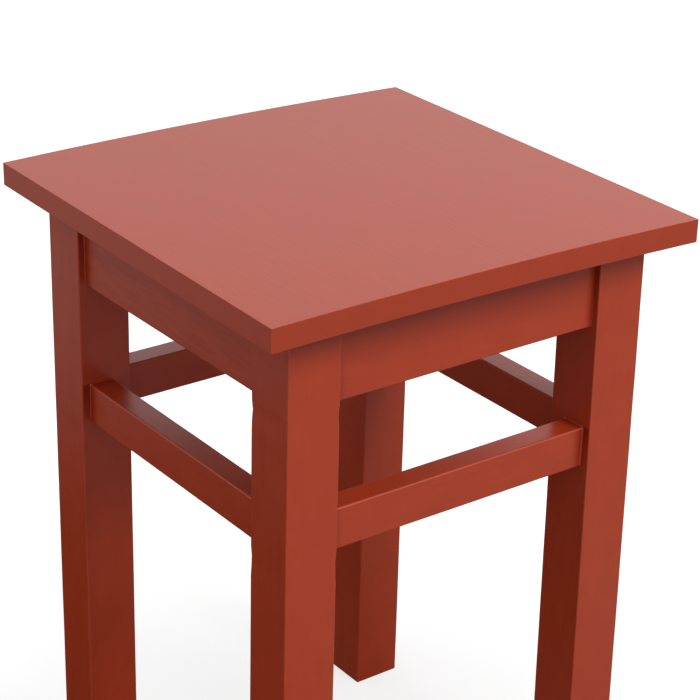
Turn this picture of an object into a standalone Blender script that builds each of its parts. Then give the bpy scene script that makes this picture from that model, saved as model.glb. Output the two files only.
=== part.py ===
"""A low square stool of painted wood, in metres, +Z up, with its front facing -Y.

The origin is on the floor under the middle of the stool. Two local frames place the pieces:
a corner frame has its origin at a leg's outer corner on the floor, with +X and +Y running
inwards along the two sides that meet there; a side frame has its origin on the floor under
the middle of a side, in the plane of the legs' outer faces, with +X along the side and +Y
inwards.
"""

import math
from collections import namedtuple

import bmesh
import bpy
from mathutils import Matrix, Vector

# Seat board
SEAT_HEIGHT = 0.507  # floor to the board's upper face, at its two sides
BOARD_WIDTH = 0.350  # along X, across the grain
BOARD_DEPTH = 0.350  # along Y, with the grain
BOARD_THICKNESS = 0.017
BOARD_CROWN = 0.0024  # how far the middle of the board stands above its two sides
BOARD_OVERHANG = 0.024  # past the outer faces of the legs
BOARD_STRIPS = 15  # flat strips that make up the crown, an odd number

# Legs
LEG_SECTION = 0.041

# Rails: the aprons under the board, and the stretchers below the aprons
APRON_HEIGHT = 0.0605
APRON_THICKNESS = 0.020
APRON_SETBACK = 0.0055  # from the outer faces of the legs
APRON_STRIPS = 9  # straight lengths that follow the crown along a front or rear apron
STRETCHER_HEIGHT = 0.0305
STRETCHER_THICKNESS = 0.0195
STRETCHER_SETBACK = 0.007
RAIL_GAP = 0.079  # open height between an apron and the stretcher below it

# Mitred tenons on the ends of the rails
TENON_THICKNESS = 0.008
TENON_SHOULDER = 0.005  # height of rail left below every tenon and above a stretcher's
APRON_HAUNCH = 0.012  # height of rail left above an apron's tenon

# Corner blocks in the apron frame, notched round the legs
BLOCK_HEIGHT = 0.022
BLOCK_REACH = 0.036  # along an apron, from the leg
BLOCK_END = 0.010  # width of a block's narrow ends

# Countersunk slotted screws
SCREW_RADIUS = 0.002
SCREW_HEAD_RADIUS = 0.004
SCREW_RIM = 0.0004  # straight edge of the head above its cone
SCREW_TIP = 0.005  # length of the point
SCREW_SLOT_WIDTH = 0.0012
SCREW_SLOT_DEPTH = 0.0011
SCREW_COVER = 0.006  # wood left between a screw's point and the face ahead of it
SCREW_GRIP = 0.014  # block wood between an apron and the top of the screw head
SCREW_FROM_END = 0.014  # from a block's narrow end to the axis of the screw there
SCREW_SIDES = 16

# Shared
EASING = 0.001  # radius to which every arris is sanded
EASING_STEPS = 2
CLEARANCE = 0.0003  # gap between pieces that touch
WELD = 0.000003  # points nearer to each other than this are one point
SHARP_ANGLE = math.radians(50)

RED_PAINT = (0.40, 0.05, 0.025, 1.0)
PAINT_ROUGHNESS = 0.42
ZINC = (0.60, 0.60, 0.62, 1.0)
ZINC_ROUGHNESS = 0.35

CORNERS = ("front_left", "front_right", "rear_right", "rear_left")
SIDES = ("front", "right", "rear", "left")

# Half the outer size of the leg frame, and the levels that stack down from the board
FRAME_HALF_X = BOARD_WIDTH / 2 - BOARD_OVERHANG
FRAME_HALF_Y = BOARD_DEPTH / 2 - BOARD_OVERHANG
FRAME_TOP = SEAT_HEIGHT - BOARD_THICKNESS - CLEARANCE
APRON_LOW = SEAT_HEIGHT - BOARD_THICKNESS - APRON_HEIGHT
STRETCHER_TOP = APRON_LOW - RAIL_GAP
STRETCHER_LOW = STRETCHER_TOP - STRETCHER_HEIGHT
BLOCK_LOW = FRAME_TOP - BLOCK_HEIGHT

Rail = namedtuple("Rail", "setback thickness low top tenon_low tenon_top")
APRON = Rail(
    APRON_SETBACK,
    APRON_THICKNESS,
    APRON_LOW,
    FRAME_TOP,
    APRON_LOW + TENON_SHOULDER,
    FRAME_TOP - APRON_HAUNCH,
)
STRETCHER = Rail(
    STRETCHER_SETBACK,
    STRETCHER_THICKNESS,
    STRETCHER_LOW,
    STRETCHER_TOP,
    STRETCHER_LOW + TENON_SHOULDER,
    STRETCHER_TOP - TENON_SHOULDER,
)


def crown_rise(x):
    """Height of the board's faces at x above their height at its two sides."""
    return BOARD_CROWN * (1 - (2 * x / BOARD_WIDTH) ** 2)


def corner_frame(corner):
    """Corner 0 is at the front left, and each next one is a quarter turn on."""
    side_x = (-1, 1, 1, -1)[corner]
    side_y = (-1, -1, 1, 1)[corner]
    place = Matrix.Translation((side_x * FRAME_HALF_X, side_y * FRAME_HALF_Y, 0))
    return place @ Matrix.Rotation(corner * math.pi / 2, 4, "Z")


def side_frame(side):
    """Side 0 is the front, and each next one is a quarter turn on."""
    place = Matrix.Translation(((0, 1, 0, -1)[side] * FRAME_HALF_X, (-1, 0, 1, 0)[side] * FRAME_HALF_Y, 0))
    return place @ Matrix.Rotation(side * math.pi / 2, 4, "Z")


def make_material(name, colour, roughness, metallic):
    material = bpy.data.materials.new(name)
    material.use_nodes = True
    shader = material.node_tree.nodes["Principled BSDF"]
    shader.inputs["Base Color"].default_value = colour
    shader.inputs["Roughness"].default_value = roughness
    shader.inputs["Metallic"].default_value = metallic
    return material


def mesh_from(name, bm):
    """Ends a bmesh as a mesh that is smooth except at its sharp edges."""
    bmesh.ops.recalc_face_normals(bm, faces=bm.faces)
    mesh = bpy.data.meshes.new(name)
    bm.to_mesh(mesh)
    bm.free()
    mesh.shade_smooth()
    mesh.set_sharp_from_angle(angle=SHARP_ANGLE)
    return mesh


def add_object(name, mesh, frame, parent):
    piece = bpy.data.objects.new(name, mesh)
    bpy.context.collection.objects.link(piece)
    piece.parent = parent
    piece.matrix_local = frame
    return piece


def add_cutter(name, bm, frame, parent):
    cutter = add_object(name, mesh_from(name, bm), frame, parent)
    cutter.hide_render = True
    cutter.display_type = "WIRE"
    return cutter


def cut(piece, cutter):
    modifier = piece.modifiers.new(cutter.name, "BOOLEAN")
    modifier.operation = "DIFFERENCE"
    modifier.solver = "EXACT"
    modifier.object = cutter


def box(low, high):
    """A bmesh box between two corners."""
    low = Vector(low)
    high = Vector(high)
    bm = bmesh.new()
    size = Matrix.Diagonal((*(high - low), 1))
    bmesh.ops.create_cube(bm, size=1, matrix=Matrix.Translation((low + high) / 2) @ size)
    return bm


def prism(outline, low, high):
    """A bmesh of a plan outline, raised from one height to another."""
    bm = bmesh.new()
    floor = bm.faces.new([bm.verts.new((x, y, low)) for x, y in outline])
    raised = bmesh.ops.extrude_face_region(bm, geom=[floor], use_keep_orig=True)
    top = [item for item in raised["geom"] if isinstance(item, bmesh.types.BMVert)]
    bmesh.ops.translate(bm, verts=top, vec=(0, 0, high - low))
    return bm


def turned(profile):
    """A bmesh turned about Z from (radius, height) points that start and end on the axis."""
    bm = bmesh.new()
    points = [bm.verts.new((radius, 0, height)) for radius, height in profile]
    edges = [bm.edges.new(pair) for pair in zip(points, points[1:])]
    bmesh.ops.spin(
        bm,
        geom=points + edges,
        axis=(0, 0, 1),
        cent=(0, 0, 0),
        angle=2 * math.pi,
        steps=SCREW_SIDES,
        use_merge=True,
    )
    bmesh.ops.remove_doubles(bm, verts=bm.verts, dist=WELD)
    return bm


def ease(bm, edges):
    bmesh.ops.bevel(
        bm,
        geom=edges,
        offset=EASING,
        offset_type="OFFSET",
        segments=EASING_STEPS,
        profile=0.5,
        affect="EDGES",
        material=-1,
    )


def slice_along_x(bm, reach, strips):
    """Adds the edges that let a piece from -reach to reach bend in equal strips."""
    for strip in range(1, strips):
        whole = bm.verts[:] + bm.edges[:] + bm.faces[:]
        place = (reach * (2 * strip / strips - 1), 0, 0)
        bmesh.ops.bisect_plane(bm, geom=whole, plane_co=place, plane_no=(1, 0, 0))


def fit_under_board(bm, frame, low):
    """Stretches a piece that stands on low and ends at FRAME_TOP up to the crowned board."""
    for vert in bm.verts:
        share = (vert.co.z - low) / (FRAME_TOP - low)
        vert.co.z += share * crown_rise((frame @ vert.co).x)


def make_board(paint, parent):
    half_width = BOARD_WIDTH / 2
    half_depth = BOARD_DEPTH / 2
    underside = SEAT_HEIGHT - BOARD_THICKNESS
    bm = box((-half_width, -half_depth, underside), (half_width, half_depth, SEAT_HEIGHT))
    ease(bm, bm.edges[:])
    slice_along_x(bm, half_width, BOARD_STRIPS)
    for vert in bm.verts:
        vert.co.z += crown_rise(vert.co.x)
    board = add_object("seat_board", mesh_from("seat_board", bm), Matrix(), parent)
    board.data.materials.append(paint)
    return board


def mortise(rail):
    """The pocket in a leg, in its corner frame, for the tenons of the two rails that meet there."""
    middle = rail.setback + rail.thickness / 2
    near = middle - TENON_THICKNESS / 2 - CLEARANCE
    far = middle + TENON_THICKNESS / 2 + CLEARANCE
    mouth = 2 * LEG_SECTION
    outline = [(near, near), (mouth, near), (mouth, far), (far, far), (far, mouth), (near, mouth)]
    return prism(outline, rail.tenon_low - CLEARANCE, rail.tenon_top + CLEARANCE)


def make_leg(corner, paint, parent):
    name = "leg_" + CORNERS[corner]
    frame = corner_frame(corner)
    bm = box((0, 0, 0), (LEG_SECTION, LEG_SECTION, FRAME_TOP))
    ease(bm, [edge for edge in bm.edges if min(vert.co.z for vert in edge.verts) < EASING])
    fit_under_board(bm, frame, 0)
    leg = add_object(name, mesh_from(name, bm), frame, parent)
    leg.data.materials.append(paint)
    cut(leg, add_cutter(name + "_apron_mortise", mortise(APRON), Matrix(), leg))
    cut(leg, add_cutter(name + "_stretcher_mortise", mortise(STRETCHER), Matrix(), leg))


def draw_tenon(bm, rail, reach, end):
    """Draws a tenon from a rail's end face, -1 or 1, to the mitre where two tenons meet in the leg."""
    shoulder = max(bm.faces, key=lambda face: end * face.calc_center_median().x)
    middle = rail.setback + rail.thickness / 2
    middle_height = (rail.low + rail.top) / 2
    bmesh.ops.inset_individual(bm, faces=[shoulder], thickness=EASING, depth=0)
    for vert in shoulder.verts:
        vert.co.y = middle + math.copysign(TENON_THICKNESS / 2, vert.co.y - middle)
        vert.co.z = rail.tenon_top if vert.co.z > middle_height else rail.tenon_low
    tip = bmesh.ops.extrude_discrete_faces(bm, faces=[shoulder])["faces"][0]
    leg_outer_face = reach + CLEARANCE + LEG_SECTION
    for vert in tip.verts:
        vert.co.x = end * (leg_outer_face - vert.co.y - CLEARANCE)


def make_rail(name, rail, side, paint, parent):
    frame = side_frame(side)
    along_x = side % 2 == 0
    reach = (FRAME_HALF_X if along_x else FRAME_HALF_Y) - LEG_SECTION - CLEARANCE
    inner_face = rail.setback + rail.thickness
    bm = box((-reach, rail.setback, rail.low), (reach, inner_face, rail.top))
    ease(bm, bm.edges[:])
    if rail is APRON:
        if along_x:
            slice_along_x(bm, reach, APRON_STRIPS)
        fit_under_board(bm, frame, rail.low)
    draw_tenon(bm, rail, reach, -1)
    draw_tenon(bm, rail, reach, 1)
    piece = add_object(name, mesh_from(name, bm), frame, parent)
    piece.data.materials.append(paint)
    return piece


def make_corner_block(corner, paint, parent):
    name = "corner_block_" + CORNERS[corner]
    frame = corner_frame(corner)
    wall = APRON_SETBACK + APRON_THICKNESS + CLEARANCE
    post = LEG_SECTION + CLEARANCE
    end = LEG_SECTION + BLOCK_REACH
    outline = [
        (post, post),
        (post, wall),
        (end, wall),
        (end, wall + BLOCK_END),
        (wall + BLOCK_END, end),
        (wall, end),
        (wall, post),
    ]
    bm = prism(outline, BLOCK_LOW, FRAME_TOP)
    fit_under_board(bm, frame, BLOCK_LOW)
    block = add_object(name, mesh_from(name, bm), frame, parent)
    block.data.materials.append(paint)
    return block


def screw_profile(length, spare, bore):
    """Outline of a screw from head to point, its head's top at 0 and its point at length.

    A hole's outline has spare room round the screw, and a bore before its head.
    """
    cone = SCREW_HEAD_RADIUS - SCREW_RADIUS
    return [
        (0, -bore),
        (SCREW_HEAD_RADIUS + spare, -bore),
        (SCREW_HEAD_RADIUS + spare, SCREW_RIM),
        (SCREW_RADIUS + spare, SCREW_RIM + cone),
        (SCREW_RADIUS + spare, length - SCREW_TIP),
        (0, length + spare),
    ]


def screw_mesh(name, length, steel):
    """A turned screw with its slot cut, for several objects to share."""
    blank = add_object(name, mesh_from(name, turned(screw_profile(length, 0, 0))), Matrix(), None)
    half_width = SCREW_SLOT_WIDTH / 2
    half_length = 2 * SCREW_HEAD_RADIUS
    slot = box((-half_length, -half_width, -SCREW_SLOT_DEPTH), (half_length, half_width, SCREW_SLOT_DEPTH))
    cutter = add_cutter(name + "_slot", slot, Matrix(), None)
    cut(blank, cutter)
    graph = bpy.context.evaluated_depsgraph_get()
    mesh = bpy.data.meshes.new_from_object(blank.evaluated_get(graph))
    mesh.name = name
    mesh.materials.append(steel)
    bpy.data.objects.remove(blank)
    bpy.data.objects.remove(cutter)
    return mesh


def drive_screw(name, mesh, length, bore, frame, parent, pieces):
    """Adds a screw and cuts its hole in the pieces that it holds together."""
    add_object(name, mesh, frame, parent)
    hole = turned(screw_profile(length, CLEARANCE, bore))
    cutter = add_cutter(name + "_hole", hole, frame, parent)
    for piece in pieces:
        cut(piece, cutter)


def make_corner_fixings(board, aprons, paint, steel, parent):
    """The corner blocks, with a screw into each apron and one up into the board."""
    apron_face = APRON_SETBACK + APRON_THICKNESS + CLEARANCE
    head = apron_face + SCREW_GRIP
    along = LEG_SECTION + BLOCK_REACH - SCREW_FROM_END
    level = BLOCK_LOW + BLOCK_HEIGHT / 2
    block_length = head - APRON_SETBACK - SCREW_COVER
    block_mesh = screw_mesh("block_screw", block_length, steel)
    block_width = (LEG_SECTION + BLOCK_REACH + apron_face + BLOCK_END) / 2
    middle = (LEG_SECTION + CLEARANCE + block_width) / 2
    seat = SEAT_HEIGHT + crown_rise(FRAME_HALF_X - middle)
    board_length = seat - SCREW_COVER - BLOCK_LOW
    board_mesh = screw_mesh("board_screw", board_length, steel)
    into_y = Matrix.Rotation(math.pi / 2, 4, "X")
    into_x = Matrix.Rotation(-math.pi / 2, 4, "Y")
    for corner, corner_name in enumerate(CORNERS):
        frame = corner_frame(corner)
        block = make_corner_block(corner, paint, parent)
        for side, spot, turn in (
            (corner, (along, head, level), into_y),
            (corner - 1, (head, along, level), into_x),
        ):
            name = "block_screw_" + corner_name + "_" + SIDES[side]
            place = frame @ Matrix.Translation(spot) @ turn
            drive_screw(name, block_mesh, block_length, BLOCK_REACH, place, parent, (block, aprons[side]))
        place = frame @ Matrix.Translation((middle, middle, BLOCK_LOW))
        name = "board_screw_" + corner_name
        drive_screw(name, board_mesh, board_length, SCREW_COVER, place, parent, (block, board))


def main():
    for old in list(bpy.data.objects):
        bpy.data.objects.remove(old)
    stool = bpy.data.objects.new("stool", None)
    bpy.context.collection.objects.link(stool)
    paint = make_material("red_paint", RED_PAINT, PAINT_ROUGHNESS, metallic=0)
    steel = make_material("zinc_steel", ZINC, ZINC_ROUGHNESS, metallic=1)
    board = make_board(paint, stool)
    aprons = []
    for index in range(4):
        make_leg(index, paint, stool)
        aprons.append(make_rail("apron_" + SIDES[index], APRON, index, paint, stool))
        make_rail("stretcher_" + SIDES[index], STRETCHER, index, paint, stool)
    make_corner_fixings(board, aprons, paint, steel, stool)


main()
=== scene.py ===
"""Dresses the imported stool: hand-sanded wood under satin brick-red paint, in plain studio light.

Lengths are metres, +Z is up and the front faces -Y. Two local frames place the pieces: a corner frame
has its origin at a leg's outer corner on the floor, with +X and +Y running inwards along the two sides
that meet there; a side frame has its origin on the floor under the middle of a side, in the plane of
the legs' outer faces, with +X along the side and +Y inwards.
"""

import math
from collections import namedtuple

import bmesh
import bpy
from mathutils import Euler, Matrix, Vector, noise


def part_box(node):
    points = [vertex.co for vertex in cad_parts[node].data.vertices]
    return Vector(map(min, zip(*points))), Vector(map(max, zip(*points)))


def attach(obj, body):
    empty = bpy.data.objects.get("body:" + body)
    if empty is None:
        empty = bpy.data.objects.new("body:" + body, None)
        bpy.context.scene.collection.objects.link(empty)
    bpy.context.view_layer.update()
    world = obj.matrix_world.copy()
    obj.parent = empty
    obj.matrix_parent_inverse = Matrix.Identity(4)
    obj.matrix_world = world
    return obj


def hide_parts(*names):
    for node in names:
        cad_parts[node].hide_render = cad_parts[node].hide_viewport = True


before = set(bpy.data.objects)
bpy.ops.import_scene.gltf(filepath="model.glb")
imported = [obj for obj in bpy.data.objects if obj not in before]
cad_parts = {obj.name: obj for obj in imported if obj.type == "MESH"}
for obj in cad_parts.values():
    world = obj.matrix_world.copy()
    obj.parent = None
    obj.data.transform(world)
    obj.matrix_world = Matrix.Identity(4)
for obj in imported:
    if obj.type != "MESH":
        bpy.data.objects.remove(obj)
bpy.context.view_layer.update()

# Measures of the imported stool
BOARD_LOW, BOARD_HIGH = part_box("seat_board")
LEG_LOW, LEG_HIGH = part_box("leg_front_left")
APRON_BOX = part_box("apron_front")
STRETCHER_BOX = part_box("stretcher_front")
LEG_SECTION = LEG_HIGH.x - LEG_LOW.x
FRAME_HALF = -LEG_LOW.x  # from the middle of the stool to the legs' outer faces
RAIL_REACH = FRAME_HALF - LEG_SECTION  # from the middle of a side to the legs beside it
BOARD_CROWN = 0.0024  # how far the middle of the board stands above its two sides
CLEARANCE = 0.0003  # round a tenon in its mortise
CORNERS = ("front_left", "front_right", "rear_right", "rear_left")
SIDES = ("front", "right", "rear", "left")
QUARTER_TURN = math.pi / 2

# Hand finishing
BOARD_TURN = math.radians(-1.1)  # the board sits a little askew on its frame
BOARD_ARRIS = 0.0003  # radius that the board's edges are sanded to
BOARD_SLICES = 28
LEG_ARRIS = 0.0010
LEG_SLICES = 64
RAIL_ARRIS = 0.0013
RAIL_SLICES = 24
ARRIS_STEPS = 4
SINK = 0.0002  # how far a piece beds into the one it is glued to
WAVE_DEPTH = 0.00009  # unevenness that the plane leaves
WAVES_PER_METRE = 38
WAVE_SHIFT = (7.3, 3.1)  # sets the waves of one piece apart from those of the next
BOARD_SEED = 0  # numbers that tell the pieces' waves apart
LEG_SEED = 1
APRON_SEED = 5
STRETCHER_SEED = 9
RUB_DEPTH = 0.0005  # extra sanding of a leg's edges just below a rail
RUB_BELOW = 0.009
RUB_REACH = 0.010
RUB_MARGIN = 1.01  # takes in the points on the very rim of an arris
LEANING_LEG = 1  # the front right one
LEAN = 0.009  # how far it leans outwards to the right, for each metre downwards, in metres
LEAN_LEVEL = 0.40  # height at which it stands where it should

# Paint that has gathered in the corners between rails and legs
FILLET = 0.0011  # radius of the hollow that it makes
FILLET_STEPS = 6
RAIL_STRAIGHT = RAIL_REACH + SINK - FILLET  # half the length of a rail between its fillets

# Mitred tenons on the rails' ends
TENON_THICKNESS = 0.008
TENON_SHOULDER = 0.005
APRON_HAUNCH = 0.012  # rail left above an apron's tenon

# Corner blocks under the board
BLOCK_ARRIS = 0.0008
BLOCK_EDGE = 0.0095  # edges at least this long are a block's own, and not its screw holes'

WELD = 0.000003  # points nearer to each other than this are one point
FACING = 0.7  # a face points along an axis when its normal has more of it than this
FLAT_ANGLE = math.radians(1)  # faces that meet at less than this are one face
SHARP_ANGLE = math.radians(50)  # edges sharper than this show as edges

# Finishes
DEEP_PAINT = (0.385, 0.0372, 0.0082, 1.0)
FULL_PAINT = (0.455, 0.0480, 0.0115, 1.0)
WORN_AND_HIGHLIT_PAINT = (0.46, 0.055, 0.016, 1.0)  # sanded arrises, where the coat is thin, a little lighter also as a painted highlight
DARK_PAINT_AND_SHADE = (0.20, 0.010, 0.002, 1.0)  # dark colour for painted shade in the corners and under the board, and for the deeper paint on the board's ends
COATS = {"Deep": DEEP_PAINT, "Full": FULL_PAINT, "Worn_And_Highlit": WORN_AND_HIGHLIT_PAINT, "Dark_And_Shade": DARK_PAINT_AND_SHADE}
# Painted shade, in the dark colour, where shade falls between and under the parts
SHADE_AT_LEGS = 0.6  # painted shade: how far a rail's colour turns to the dark colour beside a leg
SHADE_REACH = 0.008  # and how far from the leg that fades out
SHADE_STEPS = 6
SHADE_ON_LEG_STRIPS = 0.9  # painted shade on the narrow strips of a leg in front of its rails, fading downwards
SHADOW_UNDER_BOARD = 1.0  # painted shadow on the fronts and backs of legs and aprons, where they meet the board
SHADOW_UNDER_BOARD_ON_SIDES = 0.3  # and on their faces to the left and right
LEG_SHADOW_BELOW = 0.040  # how far below the board that fades out
APRON_SHADOW_BELOW = 0.055
SHADOW_BANDS = 36
DEEPER_ON_BOARD_ENDS = 0.2  # deeper paint on the board's front and back
PAINT_BUMP = 0.00008
PAINT_ROUGHNESS = (0.33, 0.35)
ARRIS_ROUGHNESS = 0.12  # what sanding adds to it
RIDGES_ALONG_Y = 1.6  # height of the grain's ridges on the board and the side rails
RIDGES_ELSEWHERE = 0.3
FIGURE_SHARE, STREAK_SHARE = 0.3, 0.7  # of the wood's figure
HAIR_HEIGHT, PEEL_HEIGHT = 0.10, 0.08  # of brush hairs and orange peel in the coat
MOTTLE_SPAN = (0.3, 0.7)  # the part of the mottle's range that is used
MOTTLE_TONE = (0.28, 0.72)  # and the tones from deep to full that it gives
WEAR_AND_HIGHLIGHT_SPAN = (0.35, 0.65)
WEAR_AND_HIGHLIGHT_ON_ARRIS = (0.15, 0.75)  # how far an arris shows thin paint and painted highlight
PATCH_SPAN = (0.4, 0.62)
PATCH_RIDGES = (0.1, 1.9)  # how high the ridges stand from patch to patch
GRAIN_AND_RELIEF_SHADE_ON_SIDES = 2.2  # how far the grain shows on the legs' faces to the left and right, stronger there partly as painted shading of its ridges
GRAIN_ON_FRONTS = 0.8  # on their other faces
# grain on the side aprons, stronger partly as painted shading of its ridges
GRAIN_AND_RELIEF_SHADE_ON_SIDE_APRONS = 5.0
GRAIN_ON_RAILS = 1.3
GRAIN_ON_BOARD = 0.6
GRAIN_ON_BLOCKS = 2.0
ZINC = (0.62, 0.62, 0.63, 1.0)
DULL_ZINC = (0.42, 0.42, 0.43, 1.0)
ZINC_BUMP = 0.00002
ZINC_SPAN = (0.3, 0.7)
ZINC_ROUGHNESS = (0.42, 0.28)

# Noises in the finishes: marks per metre along the grain and across it, detail and roughness
Noise = namedtuple("Noise", "stretch detail roughness", defaults=(0.5,))
FIGURE = Noise((9, 130, 130), 3)
STREAKS = Noise((34, 400, 400), 3, 0.6)
HAIRS = Noise((70, 2300, 2300), 2)
MOTTLE = Noise((45, 60, 60), 4, 0.6)
PEEL = Noise((620, 900, 900), 2)
RIDGE_PATCHES = Noise((14, 22, 22), 2)
ZINC_PATCHES = Noise((700, 700, 700), 3)
ZINC_PITS = Noise((4000, 4000, 4000), 2)

FACE_LAYERS = ("arris", "grain", "deep_paint_and_shade")  # how far a face is arris, shows its grain, and takes the dark colour of painted shade and deeper paint
MIX_FIRST, MIX_SECOND, MIX_RESULT = 6, 7, 2  # colour sockets of a Mix node

# Studio
CAMERA_PLACE = (-0.851015, -1.144378, 1.028395)
CAMERA_TURN = (65.68623, -1.34395, -36.35105)  # degrees about X, Y and Z
CAMERA_LENS = 111.1402
CAMERA_SENSOR = 36.0
FLOOR_REACH = 9.0
FLOOR_COLOUR = (0.30, 0.30, 0.30, 1.0)
FLOOR_NEAR = 0.72  # white that the floor shows the camera by the stool, besides the light on it
FLOOR_FADE = (0.14, 0.60)  # distances over which the floor turns all white
MIRROR_LEVEL = 0.40  # white that the floor glows with in the paint's reflections alone, a painted reflection
MIRROR_DARK = (-0.30, 0.20, 0.0)  # middle of a dark patch painted into that reflected glow
MIRROR_FADE = (0.25, 0.95)
ROOM_LIGHT = 0.58

Lamp = namedtuple("Lamp", "name turn rise size level")
LAMP_AIM = (0.0, 0.0, 0.4)
LAMP_DISTANCE = 2.2
LAMPS = (  # turned in degrees from the front towards the right, level 1 lights a white card as white
    Lamp("key_light", 15, 42, 0.9, 0.50),
    Lamp("low_light", 12, 5, 0.9, 0.06),
    Lamp("left_light", -90, 8, 0.9, 0.055),
    Lamp("top_light", 0, 88, 0.9, 0.05),
)


Rail = namedtuple("Rail", "near far low top tenon_low tenon_top under_board seed")
APRON = Rail(
    APRON_BOX[0].y + FRAME_HALF,
    APRON_BOX[1].y + FRAME_HALF,
    APRON_BOX[0].z,
    BOARD_LOW.z,
    APRON_BOX[0].z + TENON_SHOULDER,
    BOARD_LOW.z - APRON_HAUNCH,
    under_board=True,
    seed=APRON_SEED,
)
STRETCHER = Rail(
    STRETCHER_BOX[0].y + FRAME_HALF,
    STRETCHER_BOX[1].y + FRAME_HALF,
    STRETCHER_BOX[0].z,
    STRETCHER_BOX[1].z,
    STRETCHER_BOX[0].z + TENON_SHOULDER,
    STRETCHER_BOX[1].z - TENON_SHOULDER,
    under_board=False,
    seed=STRETCHER_SEED,
)
RAILS = {"apron": APRON, "stretcher": STRETCHER}


def crown_rise(x):
    """Height of the board's faces at x above their height at its two sides."""
    return BOARD_CROWN * (1 - (x / BOARD_HIGH.x) ** 2)


def corner_frame(corner):
    """Corner 0 is at the front left, and each next one is a quarter turn on."""
    side_x = (-1, 1, 1, -1)[corner]
    side_y = (-1, -1, 1, 1)[corner]
    place = Matrix.Translation((side_x * FRAME_HALF, side_y * FRAME_HALF, 0))
    return place @ Matrix.Rotation(corner * QUARTER_TURN, 4, "Z")


def side_frame(side):
    """Side 0 is the front, and each next one is a quarter turn on."""
    place = Matrix.Translation(((0, 1, 0, -1)[side] * FRAME_HALF, (-1, 0, 1, 0)[side] * FRAME_HALF, 0))
    return place @ Matrix.Rotation(side * QUARTER_TURN, 4, "Z")


def add_layers(bm):
    """Layers that hold a number for each face."""
    for name in FACE_LAYERS:
        bm.faces.layers.float.new(name)


def show_grain(bm, on_sides, elsewhere):
    """Sets how far the grain shows, on the faces to the left and right and on the others."""
    grain = bm.faces.layers.float["grain"]
    bm.normal_update()
    for face in bm.faces:
        face[grain] = on_sides if abs(face.normal.x) > FACING else elsewhere


def blank(low, high):
    """A sawn blank between two corners."""
    low, high = Vector(low), Vector(high)
    bm = bmesh.new()
    add_layers(bm)
    size = Matrix.Diagonal((*(high - low), 1))
    bmesh.ops.create_cube(bm, size=1, matrix=Matrix.Translation((low + high) / 2) @ size)
    return bm


def sand(bm, edges, radius):
    """Rounds edges over and marks the new faces as arris."""
    rounded = bmesh.ops.bevel(
        bm,
        geom=edges,
        offset=radius,
        offset_type="OFFSET",
        segments=ARRIS_STEPS,
        profile=0.5,
        affect="EDGES",
        material=-1,
    )
    arris = bm.faces.layers.float["arris"]
    for face in rounded["faces"]:
        face[arris] = 1.0


def cut_across(bm, axis, place):
    """Cuts all faces of a piece where they cross a place on an axis."""
    normal = Vector([1.0 if i == axis else 0.0 for i in range(3)])
    whole = bm.verts[:] + bm.edges[:] + bm.faces[:]
    bmesh.ops.bisect_plane(bm, geom=whole, plane_co=normal * place, plane_no=normal)


def slice_along(bm, axis, low, high, slices):
    """Cuts a piece across an axis into equal slices, so that it can follow a curve."""
    for cut in range(1, slices):
        cut_across(bm, axis, low + (high - low) * cut / slices)


def plane_by_hand(bm, seed):
    """Leaves the slight waves of a hand plane in the faces of a piece."""
    bm.normal_update()
    shift = Vector((seed * WAVE_SHIFT[0], seed * WAVE_SHIFT[1], 0))
    for vert in bm.verts:
        vert.co += vert.normal * WAVE_DEPTH * noise.noise(vert.co * WAVES_PER_METRE + shift)


def fit_under_board(bm, place, low):
    """Stretches a piece that stands on low up into the crowned underside of the board."""
    for vert in bm.verts:
        share = max(0.0, (vert.co.z - low) / (BOARD_LOW.z - low))
        vert.co.z += share * (crown_rise((place @ vert.co).x) + SINK)


def mesh_from(name, bm):
    """The mesh of a finished shape, welded and with its faces outwards."""
    bmesh.ops.remove_doubles(bm, verts=bm.verts, dist=WELD)
    bmesh.ops.recalc_face_normals(bm, faces=bm.faces)
    if bm.calc_volume(signed=True) < 0:
        bmesh.ops.reverse_faces(bm, faces=bm.faces)
    mesh = bpy.data.meshes.new(name)
    bm.to_mesh(mesh)
    bm.free()
    return mesh


def carved(name, bm, pockets):
    """The mesh of a piece with its pockets cut out of it."""
    solid = bpy.data.objects.new(name, mesh_from(name, bm))
    pocket_name = name + "_pocket"
    cutters = [bpy.data.objects.new(pocket_name, mesh_from(pocket_name, pocket)) for pocket in pockets]
    for item in [solid] + cutters:
        bpy.context.collection.objects.link(item)
    for cutter in cutters:
        modifier = solid.modifiers.new(cutter.name, "BOOLEAN")
        modifier.operation = "DIFFERENCE"
        modifier.solver = "EXACT"
        modifier.object = cutter
    graph = bpy.context.evaluated_depsgraph_get()
    mesh = bpy.data.meshes.new_from_object(solid.evaluated_get(graph))
    for item in [solid] + cutters:
        bpy.data.objects.remove(item)
    return mesh


def add_piece(name, mesh, paint, node):
    """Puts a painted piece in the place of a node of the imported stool."""
    mesh.name = name
    mesh.shade_smooth()
    mesh.set_sharp_from_angle(angle=SHARP_ANGLE)
    mesh.materials.clear()
    mesh.materials.append(paint)
    piece = bpy.data.objects.new(name, mesh)
    bpy.context.collection.objects.link(piece)
    level = piece.modifiers.new("level_faces", "WEIGHTED_NORMAL")
    level.keep_sharp = True
    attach(piece, "root")
    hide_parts(node)
    return piece


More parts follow.
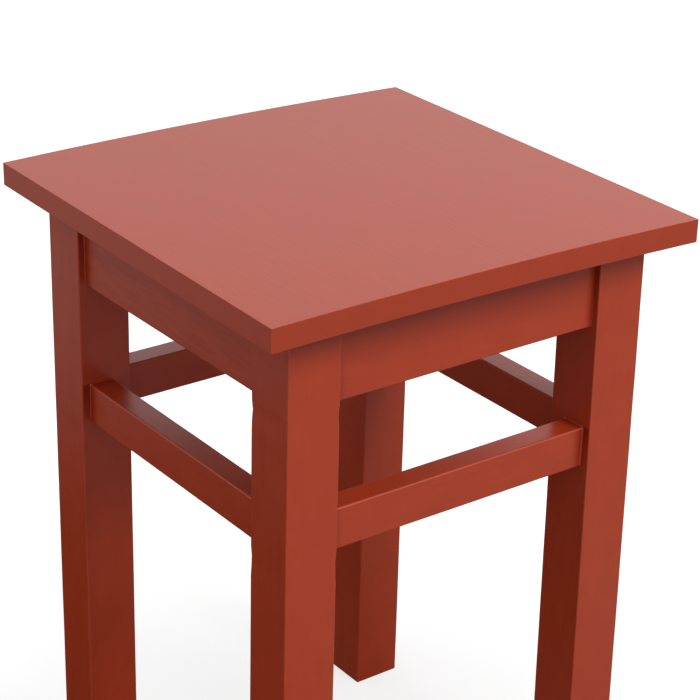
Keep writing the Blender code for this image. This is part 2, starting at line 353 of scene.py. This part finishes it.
def make_board(paint):
    bm = blank(BOARD_LOW, BOARD_HIGH - Vector((0, 0, BOARD_CROWN)))
    sand(bm, bm.edges[:], BOARD_ARRIS)
    for axis in (0, 1):
        slice_along(bm, axis, BOARD_LOW[axis], BOARD_HIGH[axis], BOARD_SLICES)
    for vert in bm.verts:
        vert.co.z += crown_rise(vert.co.x)
    plane_by_hand(bm, BOARD_SEED)
    bmesh.ops.rotate(bm, verts=bm.verts, cent=(0, 0, 0), matrix=Matrix.Rotation(BOARD_TURN, 3, "Z"))
    show_grain(bm, GRAIN_ON_BOARD, GRAIN_ON_BOARD)
    # the board's front and back take deeper paint
    deep_paint_and_shade = bm.faces.layers.float["deep_paint_and_shade"]
    for face in bm.faces:
        face[deep_paint_and_shade] = DEEPER_ON_BOARD_ENDS if abs(face.normal.y) > FACING else 0.0
    add_piece("painted_board", mesh_from("painted_board", bm), paint, "seat_board")


def mortise(rail):
    """The pocket in a leg, in its corner frame, for the tenons of the two rails that meet there."""
    middle = (rail.near + rail.far) / 2
    near = middle - TENON_THICKNESS / 2 - CLEARANCE
    far = middle + TENON_THICKNESS / 2 + CLEARANCE
    mouth = 2 * LEG_SECTION
    outline = [(near, near), (mouth, near), (mouth, far), (far, far), (far, mouth), (near, mouth)]
    low, high = rail.tenon_low - CLEARANCE, rail.tenon_top + CLEARANCE
    bm = bmesh.new()
    floor = bm.faces.new([bm.verts.new((x, y, low)) for x, y in outline])
    raised = bmesh.ops.extrude_face_region(bm, geom=[floor], use_keep_orig=True)
    top = [item for item in raised["geom"] if isinstance(item, bmesh.types.BMVert)]
    bmesh.ops.translate(bm, verts=top, vec=(0, 0, high - low))
    return bm


def rub_edges(bm):
    """Sands a leg's two inner edges a little further just below each rail, where the paper catches."""
    middle = LEG_SECTION / 2
    for vert in bm.verts:
        if (vert.co.x - middle) * (vert.co.y - middle) > 0:
            continue
        corner = min(abs(abs(vert.co.x - middle) - middle), LEG_ARRIS) + min(
            abs(abs(vert.co.y - middle) - middle), LEG_ARRIS
        )
        if corner > LEG_ARRIS * RUB_MARGIN:
            continue
        for rail in RAILS.values():
            away = abs(vert.co.z - (rail.low - RUB_BELOW)) / RUB_REACH
            if away < 1:
                depth = RUB_DEPTH * (1 + math.cos(math.pi * away)) / 2
                vert.co.x -= math.copysign(depth, vert.co.x - middle)
                vert.co.y -= math.copysign(depth, vert.co.y - middle)


def cut_bands(bm, reach):
    """Cuts the top of a piece into bands for the painted shadow under the board."""
    for band in range(1, SHADOW_BANDS + 1):
        cut_across(bm, 2, BOARD_LOW.z - reach * band / SHADOW_BANDS)


def paint_shadow_under_board(bm, reach):
    """Paints shadow on a piece that stands in its place, darker towards the board above it."""
    deep_paint_and_shade = bm.faces.layers.float["deep_paint_and_shade"]
    bm.normal_update()
    for face in bm.faces:
        middle = face.calc_center_median()
        below = (BOARD_LOW.z + crown_rise(middle.x) - middle.z) / reach
        most = SHADOW_UNDER_BOARD if abs(face.normal.y) > FACING else SHADOW_UNDER_BOARD_ON_SIDES
        face[deep_paint_and_shade] = max(face[deep_paint_and_shade], most * (1 - min(max(below, 0), 1)) ** 2)


def paint_shade_on_strips(bm):
    """Paints shade on a leg, in its corner frame, on the strips in front of its rails."""
    deep_paint_and_shade = bm.faces.layers.float["deep_paint_and_shade"]
    for rail in RAILS.values():
        for axis, place in ((0, rail.near), (1, rail.near), (2, rail.low), (2, rail.top)):
            cut_across(bm, axis, place)
        for face in bm.faces:
            x, y, z = face.calc_center_median()
            inside = max(x, y) > LEG_SECTION - RUB_DEPTH
            if inside and LEG_ARRIS < min(x, y) < rail.near and rail.low < z < rail.top:
                face[deep_paint_and_shade] = SHADE_ON_LEG_STRIPS * (z - rail.low) / (rail.top - rail.low)


def make_leg(corner, paint):
    node = "leg_" + CORNERS[corner]
    place = corner_frame(corner)
    bm = blank((0, 0, 0), (LEG_SECTION, LEG_SECTION, BOARD_LOW.z))
    sand(bm, [edge for edge in bm.edges if min(vert.co.z for vert in edge.verts) < WELD], LEG_ARRIS)
    slice_along(bm, 2, 0, BOARD_LOW.z, LEG_SLICES)
    cut_bands(bm, LEG_SHADOW_BELOW)
    rub_edges(bm)
    paint_shade_on_strips(bm)
    fit_under_board(bm, place, 0)
    plane_by_hand(bm, LEG_SEED + corner)
    for vert in bm.verts:
        vert.co.z = max(vert.co.z, 0)
    pockets = [mortise(rail) for rail in RAILS.values()]
    for shape in [bm] + pockets:
        bmesh.ops.transform(shape, matrix=place, verts=shape.verts)
    if corner == LEANING_LEG:
        for vert in bm.verts:
            vert.co.x += LEAN * (LEAN_LEVEL - vert.co.z)
    paint_shadow_under_board(bm, LEG_SHADOW_BELOW)
    show_grain(bm, GRAIN_AND_RELIEF_SHADE_ON_SIDES, GRAIN_ON_FRONTS)
    add_piece("painted_" + node, carved(node, bm, pockets), paint, node)


def draw_end(bm, rail, end):
    """Flares one end of a rail, -1 or 1, into its fillet at the leg and draws out its tenon."""
    middle = (rail.near + rail.far) / 2
    middle_height = (rail.low + rail.top) / 2
    face = max(bm.faces, key=lambda item: end * item.calc_center_median().x)
    flare = 0.0
    for step in range(1, FILLET_STEPS + 1):
        turn = QUARTER_TURN * step / FILLET_STEPS
        growth = FILLET * (1 - math.cos(turn)) - flare
        face = bmesh.ops.extrude_discrete_faces(bm, faces=[face])["faces"][0]
        for vert in face.verts:
            vert.co.x = end * (RAIL_STRAIGHT + FILLET * math.sin(turn))
            vert.co.y += math.copysign(growth, vert.co.y - middle)
            if not rail.under_board and vert.co.z > middle_height:
                vert.co.z += growth
        flare += growth
    face = bmesh.ops.extrude_discrete_faces(bm, faces=[face])["faces"][0]
    for vert in face.verts:
        vert.co.y = middle + math.copysign(TENON_THICKNESS / 2, vert.co.y - middle)
        vert.co.z = rail.tenon_top if vert.co.z > middle_height else rail.tenon_low
    face = bmesh.ops.extrude_discrete_faces(bm, faces=[face])["faces"][0]
    for vert in face.verts:
        vert.co.x = end * (FRAME_HALF - vert.co.y - CLEARANCE)


def paint_shade_at_ends(bm):
    """Paints shade on a rail, darker towards the legs, up to its fillets."""
    for end in (-1, 1):
        for step in range(1, SHADE_STEPS + 1):
            cut_across(bm, 0, end * (RAIL_STRAIGHT - SHADE_REACH * step / SHADE_STEPS))
    deep_paint_and_shade = bm.faces.layers.float["deep_paint_and_shade"]
    for face in bm.faces:
        away = (RAIL_STRAIGHT - abs(face.calc_center_median().x)) / SHADE_REACH
        face[deep_paint_and_shade] = SHADE_AT_LEGS * (1 - away) if 0 < away < 1 else 0.0


def make_rail(kind, side, paint):
    rail = RAILS[kind]
    node = kind + "_" + SIDES[side]
    place = side_frame(side)
    bm = blank((-RAIL_STRAIGHT, rail.near, rail.low), (RAIL_STRAIGHT, rail.far, rail.top))
    long_edges = [edge for edge in bm.edges if edge.calc_length() > RAIL_STRAIGHT]
    if rail.under_board:
        long_edges = [edge for edge in long_edges if edge.verts[0].co.z < rail.top - WELD]
    sand(bm, long_edges, RAIL_ARRIS)
    for end in (-1, 1):
        draw_end(bm, rail, end)
    slice_along(bm, 0, -RAIL_STRAIGHT, RAIL_STRAIGHT, RAIL_SLICES)
    paint_shade_at_ends(bm)
    if rail.under_board:
        cut_bands(bm, APRON_SHADOW_BELOW)
    plane_by_hand(bm, rail.seed + side)
    if rail.under_board:
        fit_under_board(bm, place, rail.low)
    bmesh.ops.transform(bm, matrix=place, verts=bm.verts)
    if rail.under_board:
        paint_shadow_under_board(bm, APRON_SHADOW_BELOW)
    # grain is real, its extra strength on the side aprons is painted shading of its ridges
    shown = GRAIN_AND_RELIEF_SHADE_ON_SIDE_APRONS if rail.under_board and side % 2 else GRAIN_ON_RAILS
    show_grain(bm, shown, shown)
    add_piece("painted_" + node, mesh_from(node, bm), paint, node)


def make_block(corner, paint):
    """A corner block with its sawn edges sanded, its screw holes as they are."""
    node = "corner_block_" + CORNERS[corner]
    bm = bmesh.new()
    bm.from_mesh(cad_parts[node].data)
    add_layers(bm)
    bmesh.ops.remove_doubles(bm, verts=bm.verts, dist=WELD)
    bmesh.ops.dissolve_limit(bm, angle_limit=FLAT_ANGLE, verts=bm.verts, edges=bm.edges)
    long_edges = [edge for edge in bm.edges if edge.calc_length() > BLOCK_EDGE]
    own = [edge for edge in long_edges if edge.calc_face_angle(0) > SHARP_ANGLE / 2]
    sand(bm, own, BLOCK_ARRIS)
    show_grain(bm, GRAIN_ON_BLOCKS, GRAIN_ON_BLOCKS)
    add_piece("painted_" + node, mesh_from(node, bm), paint, node)


def add_node(tree, kind, **settings):
    """Adds a node and sets its properties."""
    node = tree.nodes.new(kind)
    for name, value in settings.items():
        setattr(node, name, value)
    return node


def noise_value(tree, vector, noise_kind):
    """A noise over a vector that is first scaled by the noise's stretch."""
    mapping = add_node(tree, "ShaderNodeMapping")
    mapping.inputs["Scale"].default_value = noise_kind.stretch
    texture = add_node(tree, "ShaderNodeTexNoise")
    texture.inputs["Scale"].default_value = 1.0
    texture.inputs["Detail"].default_value = noise_kind.detail
    texture.inputs["Roughness"].default_value = noise_kind.roughness
    tree.links.new(vector, mapping.inputs["Vector"])
    tree.links.new(mapping.outputs["Vector"], texture.inputs["Vector"])
    return texture.outputs["Fac"]


def reckon(tree, operation, first, second, clamp=False):
    """A Math node on two sockets or numbers."""
    node = add_node(tree, "ShaderNodeMath", operation=operation, use_clamp=clamp)
    for socket, value in zip(node.inputs, (first, second)):
        if isinstance(value, (int, float)):
            socket.default_value = value
        else:
            tree.links.new(value, socket)
    return node.outputs[0]


def spread(tree, value, low, high, to_low, to_high, kind="LINEAR"):
    """Maps low to high onto to_low to to_high."""
    node = add_node(tree, "ShaderNodeMapRange", interpolation_type=kind)
    for socket, number in zip(node.inputs[1:5], (low, high, to_low, to_high)):
        socket.default_value = number
    tree.links.new(value, node.inputs[0])
    return node.outputs[0]


def blend_colours(tree, amount, first, second):
    """A Mix node on two colour sockets or colours."""
    node = add_node(tree, "ShaderNodeMix", data_type="RGBA")
    tree.links.new(amount, node.inputs[0])
    for place, colour in ((MIX_FIRST, first), (MIX_SECOND, second)):
        if isinstance(colour, tuple):
            node.inputs[place].default_value = colour
        else:
            tree.links.new(colour, node.inputs[place])
    return node.outputs[MIX_RESULT]


def new_group(name, inputs, outputs):
    """A shader node group with its ends, from (socket name, socket type) pairs."""
    tree = bpy.data.node_groups.new(name, "ShaderNodeTree")
    for socket, kind in inputs:
        tree.interface.new_socket(socket, in_out="INPUT", socket_type="NodeSocket" + kind)
    for socket, kind in outputs:
        tree.interface.new_socket(socket, in_out="OUTPUT", socket_type="NodeSocket" + kind)
    return tree, tree.nodes.new("NodeGroupInput").outputs, tree.nodes.new("NodeGroupOutput").inputs


def add_shares(tree, vector, first, second):
    """The sum of two noises over a vector, each given with its share."""
    parts = []
    for kind, share in (first, second):
        parts.append(reckon(tree, "MULTIPLY", noise_value(tree, vector, kind), share))
    return reckon(tree, "ADD", *parts)


def paint_over_grain():
    """Brushed paint over planed wood whose grain runs along X of the vector that it is given."""
    tree, given, out = new_group(
        "paint_over_grain",
        [
            ("Along Grain", "Vector"),
            ("Arris", "Float"),
            ("Grain", "Float"),
            ("Ridges", "Float"),
            ("Deep_Paint_And_Shade", "Float"),
            ("Deep", "Color"),
            ("Full", "Color"),
            ("Worn_And_Highlit", "Color"),
            ("Dark_And_Shade", "Color"),
        ],
        [("Colour", "Color"), ("Roughness", "Float"), ("Height", "Float")],
    )
    vector = given["Along Grain"]
    mottle = noise_value(tree, vector, MOTTLE)
    wood = add_shares(tree, vector, (FIGURE, FIGURE_SHARE), (STREAKS, STREAK_SHARE))
    level = reckon(tree, "SUBTRACT", wood, 0.5)
    grain = reckon(tree, "MULTIPLY", level, given["Grain"])
    tone = reckon(tree, "ADD", spread(tree, mottle, *MOTTLE_SPAN, *MOTTLE_TONE), grain, clamp=True)
    coat = blend_colours(tree, tone, given["Deep"], given["Full"])
    # the dark colour goes where painted shade falls, and a little on the board's ends
    body = blend_colours(tree, given["Deep_Paint_And_Shade"], coat, given["Dark_And_Shade"])
    # arrises turn a little lighter, for thin paint and as a painted highlight
    wear_and_highlight = spread(tree, mottle, *WEAR_AND_HIGHLIGHT_SPAN, *WEAR_AND_HIGHLIGHT_ON_ARRIS)
    patchy = reckon(tree, "MULTIPLY", given["Arris"], wear_and_highlight)
    tree.links.new(blend_colours(tree, patchy, body, given["Worn_And_Highlit"]), out["Colour"])
    gloss = spread(tree, mottle, *MOTTLE_SPAN, *PAINT_ROUGHNESS)
    worn = reckon(tree, "ADD", gloss, reckon(tree, "MULTIPLY", given["Arris"], ARRIS_ROUGHNESS))
    tree.links.new(worn, out["Roughness"])
    fine = add_shares(tree, vector, (HAIRS, HAIR_HEIGHT), (PEEL, PEEL_HEIGHT))
    patches = spread(tree, noise_value(tree, vector, RIDGE_PATCHES), *PATCH_SPAN, *PATCH_RIDGES)
    ridges = reckon(tree, "MULTIPLY", level, reckon(tree, "MULTIPLY", patches, given["Ridges"]))
    tree.links.new(reckon(tree, "ADD", ridges, fine), out["Height"])
    return tree


def red_paint(name, group, grain_turn, ridges):
    """Red paint on a piece whose grain is brought to X by grain_turn, with its ridges left this high."""
    material = bpy.data.materials.new(name)
    material.use_nodes = True
    tree = material.node_tree
    shader = tree.nodes["Principled BSDF"]
    place = add_node(tree, "ShaderNodeTexCoord")
    turn = add_node(tree, "ShaderNodeMapping")
    turn.inputs["Rotation"].default_value = grain_turn
    tree.links.new(place.outputs["Object"], turn.inputs["Vector"])
    film = add_node(tree, "ShaderNodeGroup", node_tree=group)
    tree.links.new(turn.outputs["Vector"], film.inputs["Along Grain"])
    for layer in FACE_LAYERS:
        held = add_node(tree, "ShaderNodeAttribute", attribute_name=layer)
        tree.links.new(held.outputs["Fac"], film.inputs[layer.title()])
    film.inputs["Ridges"].default_value = ridges
    for coat, colour in COATS.items():
        film.inputs[coat].default_value = colour
    bump = add_node(tree, "ShaderNodeBump")
    bump.inputs["Distance"].default_value = PAINT_BUMP
    tree.links.new(film.outputs["Height"], bump.inputs["Height"])
    tree.links.new(film.outputs["Colour"], shader.inputs["Base Color"])
    tree.links.new(film.outputs["Roughness"], shader.inputs["Roughness"])
    tree.links.new(bump.outputs["Normal"], shader.inputs["Normal"])
    return material


def zinc_plate():
    """Zinc plating on the screws, dulled in patches."""
    material = bpy.data.materials.new("zinc_plate")
    material.use_nodes = True
    tree = material.node_tree
    shader = tree.nodes["Principled BSDF"]
    place = add_node(tree, "ShaderNodeTexCoord")
    patches = noise_value(tree, place.outputs["Object"], ZINC_PATCHES)
    tree.links.new(blend_colours(tree, patches, DULL_ZINC, ZINC), shader.inputs["Base Color"])
    tree.links.new(spread(tree, patches, *ZINC_SPAN, *ZINC_ROUGHNESS), shader.inputs["Roughness"])
    bump = add_node(tree, "ShaderNodeBump")
    bump.inputs["Distance"].default_value = ZINC_BUMP
    tree.links.new(noise_value(tree, place.outputs["Object"], ZINC_PITS), bump.inputs["Height"])
    tree.links.new(bump.outputs["Normal"], shader.inputs["Normal"])
    shader.inputs["Metallic"].default_value = 1.0
    return material


def distance_from(tree, place):
    """How far a point of an object is from a place."""
    here = add_node(tree, "ShaderNodeTexCoord")
    away = add_node(tree, "ShaderNodeVectorMath", operation="DISTANCE")
    away.inputs[1].default_value = place
    tree.links.new(here.outputs["Object"], away.inputs[0])
    return away.outputs["Value"]


def glow(tree, strength):
    node = add_node(tree, "ShaderNodeEmission")
    tree.links.new(strength, node.inputs["Strength"])
    return node.outputs[0]


def make_floor():
    """A pale floor that shows as white away from the stool, and keeps the stool's shadow; in the paint's
    reflections it shows a painted glow instead, with a dark patch.
    """
    material = bpy.data.materials.new("studio_floor")
    material.use_nodes = True
    tree = material.node_tree
    tree.nodes.remove(tree.nodes["Principled BSDF"])
    path = add_node(tree, "ShaderNodeLightPath")
    seen = reckon(tree, "MAXIMUM", path.outputs["Is Camera Ray"], path.outputs["Is Transmission Ray"])
    white = spread(tree, distance_from(tree, (0, 0, 0)), *FLOOR_FADE, FLOOR_NEAR, 1, "SMOOTHSTEP")
    matt = add_node(tree, "ShaderNodeBsdfDiffuse")
    matt.inputs["Color"].default_value = FLOOR_COLOUR
    shown = add_node(tree, "ShaderNodeAddShader")
    tree.links.new(matt.outputs[0], shown.inputs[0])
    tree.links.new(glow(tree, reckon(tree, "MULTIPLY", seen, white)), shown.inputs[1])
    # painted reflection: glossy rays see a glow, darker towards MIRROR_DARK
    from_dark = distance_from(tree, MIRROR_DARK)
    mirrored = glow(tree, spread(tree, from_dark, *MIRROR_FADE, 0, MIRROR_LEVEL, "SMOOTHSTEP"))
    either = add_node(tree, "ShaderNodeMixShader")
    tree.links.new(path.outputs["Is Glossy Ray"], either.inputs[0])
    tree.links.new(shown.outputs[0], either.inputs[1])
    tree.links.new(mirrored, either.inputs[2])
    tree.links.new(either.outputs[0], tree.nodes["Material Output"].inputs["Surface"])
    bm = bmesh.new()
    bmesh.ops.create_grid(bm, x_segments=1, y_segments=1, size=FLOOR_REACH)
    mesh = mesh_from("studio_floor", bm)
    mesh.materials.append(material)
    floor = bpy.data.objects.new("studio_floor", mesh)
    bpy.context.collection.objects.link(floor)


def light_room():
    """White walls all round, which show and mirror as white and light the stool softly."""
    world = bpy.data.worlds.new("white_room")
    bpy.context.scene.world = world
    world.use_nodes = True
    tree = world.node_tree
    path = add_node(tree, "ShaderNodeLightPath")
    mirrored = reckon(tree, "MAXIMUM", path.outputs["Is Glossy Ray"], path.outputs["Is Transmission Ray"])
    shown = reckon(tree, "MAXIMUM", path.outputs["Is Camera Ray"], mirrored)
    walls = tree.nodes["Background"]
    walls.inputs["Color"].default_value = (1, 1, 1, 1)
    tree.links.new(spread(tree, shown, 0, 1, ROOM_LIGHT, 1), walls.inputs["Strength"])


def add_lamp(lamp):
    """A square soft lamp that faces the stool."""
    turn, rise = math.radians(lamp.turn), math.radians(lamp.rise)
    way = Vector((math.sin(turn) * math.cos(rise), -math.cos(turn) * math.cos(rise), math.sin(rise)))
    light = bpy.data.lights.new(lamp.name, "AREA")
    light.size = lamp.size
    light.energy = lamp.level * (math.pi * LAMP_DISTANCE) ** 2
    holder = bpy.data.objects.new(lamp.name, light)
    holder.location = Vector(LAMP_AIM) + way * LAMP_DISTANCE
    holder.rotation_euler = way.to_track_quat("Z", "Y").to_euler()
    bpy.context.collection.objects.link(holder)


def add_camera():
    lens = bpy.data.cameras.new("camera")
    lens.lens = CAMERA_LENS
    lens.sensor_width = CAMERA_SENSOR
    camera = bpy.data.objects.new("camera", lens)
    camera.location = CAMERA_PLACE
    camera.rotation_euler = Euler([math.radians(turn) for turn in CAMERA_TURN])
    bpy.context.collection.objects.link(camera)
    bpy.context.scene.camera = camera


def make_stool():
    film = paint_over_grain()
    along_x = red_paint("red_paint_along_x", film, (0, 0, 0), RIDGES_ELSEWHERE)
    along_y = red_paint("red_paint_along_y", film, (0, 0, QUARTER_TURN), RIDGES_ALONG_Y)
    along_z = red_paint("red_paint_along_z", film, (0, QUARTER_TURN, 0), RIDGES_ELSEWHERE)
    make_board(along_y)
    for place in range(len(CORNERS)):
        make_leg(place, along_z)
        for kind in RAILS:
            make_rail(kind, place, along_y if place % 2 else along_x)
        make_block(place, along_z)
    zinc = zinc_plate()
    for name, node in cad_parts.items():
        if "screw" in name:
            node.material_slots[0].material = zinc


add_camera()
make_stool()
make_floor()
light_room()
for lamp in LAMPS:
    add_lamp(lamp)
bpy.context.scene.view_settings.view_transform = "Standard"
